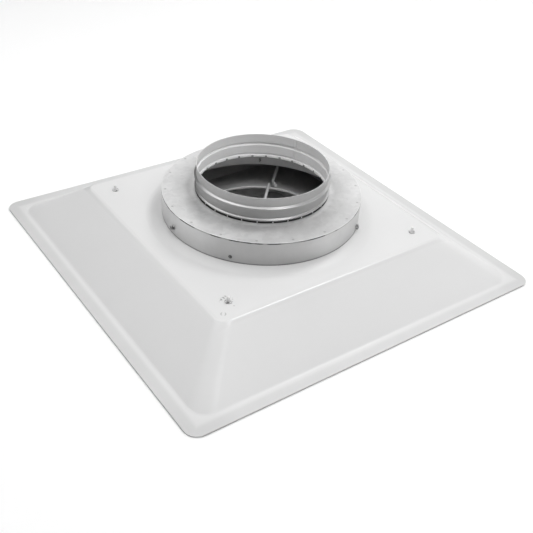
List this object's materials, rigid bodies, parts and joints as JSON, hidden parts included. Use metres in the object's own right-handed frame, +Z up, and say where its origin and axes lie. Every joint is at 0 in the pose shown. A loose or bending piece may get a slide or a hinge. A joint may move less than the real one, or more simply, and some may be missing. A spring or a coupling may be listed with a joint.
{
  "type": "square cone ceiling air diffuser",
  "caption": "Square-cone lay-in ceiling air diffuser with a stamped back pan, a round duct reducer drum and a beaded duct collar; the inner cones slide out of the face.",
  "frame": {"origin": "centre of the face plane, on the duct axis, at the underside of the border", "axes": "+Z up along the duct axis, out of the collar; X and Y along the pan's sides"},
  "size_m": [0.603, 0.603, 0.1415],
  "materials": {
    "white_paint": "white powder paint on stamped steel, satin",
    "galvanised_sheet": "hot-dip galvanised sheet, fine spangle, roll lines",
    "zinc_wire": "drawn wire, zinc plated",
    "zinc_fasteners": "zinc plated, dulled"
  },
  "bodies": {
    "pan": {"back_pan": "white_paint", "band_rivet": "zinc_fasteners", "band_screw_1": "zinc_fasteners", "band_screw_2": "zinc_fasteners", "band_screw_3": "zinc_fasteners", "corner_eyelet_1": "zinc_fasteners", "corner_eyelet_2": "zinc_fasteners", "corner_eyelet_3": "zinc_fasteners", "corner_eyelet_4": "zinc_fasteners", "duct_collar": "galvanised_sheet", "neck_ring": "galvanised_sheet", "reducer_band": "galvanised_sheet", "reducer_plate": "galvanised_sheet"},
    "core": {"centre_cone": "white_paint", "cone_hanger": "galvanised_sheet", "cone_stud_1": "zinc_fasteners", "cone_stud_2": "zinc_fasteners", "corner_wire_1": "zinc_wire", "corner_wire_2": "zinc_wire", "corner_wire_3": "zinc_wire", "corner_wire_4": "zinc_wire", "cross_wire_1": "zinc_wire", "cross_wire_2": "zinc_wire", "hanger_nut_1": "zinc_fasteners", "hanger_nut_2": "zinc_fasteners", "middle_cone": "white_paint"}
  },
  "joints": [
    {"name": "core_slide", "type": "slide", "parent": "pan", "child": "core", "axis": [0, 0, -1], "range_m": [0, 0.009]}
  ]
}
